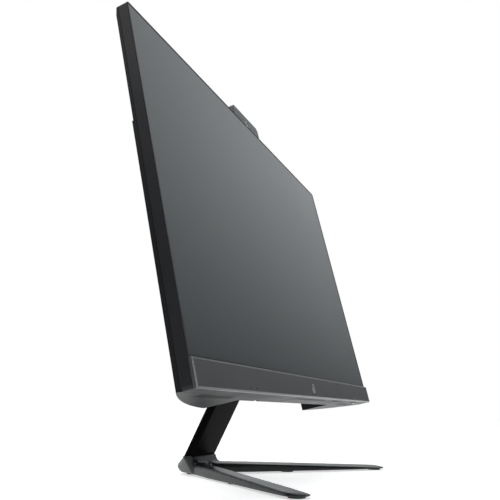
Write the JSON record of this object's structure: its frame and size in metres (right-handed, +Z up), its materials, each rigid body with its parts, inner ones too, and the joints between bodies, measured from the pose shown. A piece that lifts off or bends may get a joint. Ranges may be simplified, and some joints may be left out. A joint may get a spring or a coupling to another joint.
{
  "type": "all-in-one computer",
  "caption": "All-in-one desktop computer: slim tilting display head with the computer inside, pop-up camera, slanted flat neck and V-shaped foot.",
  "frame": {"origin": "middle of the footprint on the desk, under the rubber pads", "axes": "+X to the viewer's right, +Y towards the back, +Z up"},
  "size_m": [0.54, 0.195, 0.4197],
  "materials": {
    "foot_metal": "satin dark grey",
    "rubber": "matte",
    "steel": "zinc plated",
    "dark_steel": "satin",
    "neck_plastic": "smooth black",
    "frame_plastic": "fine texture",
    "screen": "anti-glare, switched off",
    "tray_metal": "satin",
    "chin_plastic": "satin",
    "badge_metal": "satin",
    "light_plastic": "translucent white",
    "cover_plastic": "fine texture",
    "board": "solder mask",
    "copper": "plain copper",
    "black_plastic": "plain",
    "camera_plastic": "satin",
    "dark_window": "smoked",
    "lens_glass": "coated lens"
  },
  "bodies": {
    "stand": {"foot": "foot_metal", "foot_pads": "rubber", "base_screws": "steel", "neck_spine": "dark_steel", "neck_front_cover": "neck_plastic", "neck_rear_cover": "neck_plastic", "hinge_pin": "steel", "hinge_nuts": "steel", "friction_washers": "steel"},
    "head": {"hinge_bracket": "dark_steel", "vesa_screws": "steel", "vesa_studs": "steel", "mid_frame": "frame_plastic", "lcd_panel": "screen", "backlight_tray": "tray_metal", "chassis_plate": "steel", "display_board": "board", "chin_bar": "chin_plastic", "badge": "badge_metal", "status_light": "light_plastic", "microphone_board": "board", "rear_cover": "cover_plastic", "service_cover": "cover_plastic", "cover_screws": "dark_steel", "motherboard": "board", "cpu_heatsink": "copper", "heat_pipe": "copper", "heat_fins": "tray_metal", "fan_housing": "black_plastic", "memory_module": "board", "ssd_card": "board", "wifi_card": "board", "clock_battery": "steel", "speaker_left": "black_plastic", "speaker_right": "black_plastic", "antennas": "copper", "dc_inlet": "black_plastic", "audio_jack": "black_plastic", "lan_port": "steel", "usb_ports": "steel", "display_port": "steel", "lock_slot": "steel", "camera_rails": "steel", "button_switch": "black_plastic"},
    "camera": {"camera_housing": "camera_plastic", "camera_window": "dark_window", "camera_lens": "lens_glass", "camera_sensor_dots": "dark_window"},
    "power_key": {"power_button": "chin_plastic"},
    "fan_wheel": {"fan_rotor": "black_plastic"}
  },
  "joints": [
    {"name": "head_tilt", "type": "hinge", "parent": "stand", "child": "head", "pos_m": [0, -0.00156, 0.15145], "axis": [-1, 0, 0], "range_deg": [-16.3, 8.7]},
    {"name": "camera_slide", "type": "slide", "parent": "head", "child": "camera", "axis": [0, 0.1959, 0.9806], "range_m": [-0.0234, 0]},
    {"name": "power_press", "type": "slide", "parent": "head", "child": "power_key", "axis": [0, 0.1959, 0.9806], "range_m": [0, 0.0012], "stiffness_N_per_m": 500},
    {"name": "fan_spin", "type": "hinge", "parent": "head", "child": "fan_wheel", "pos_m": [-0.186, -0.01675, 0.176], "axis": [0, 0.9806, -0.1959], "continuous": true}
  ]
}
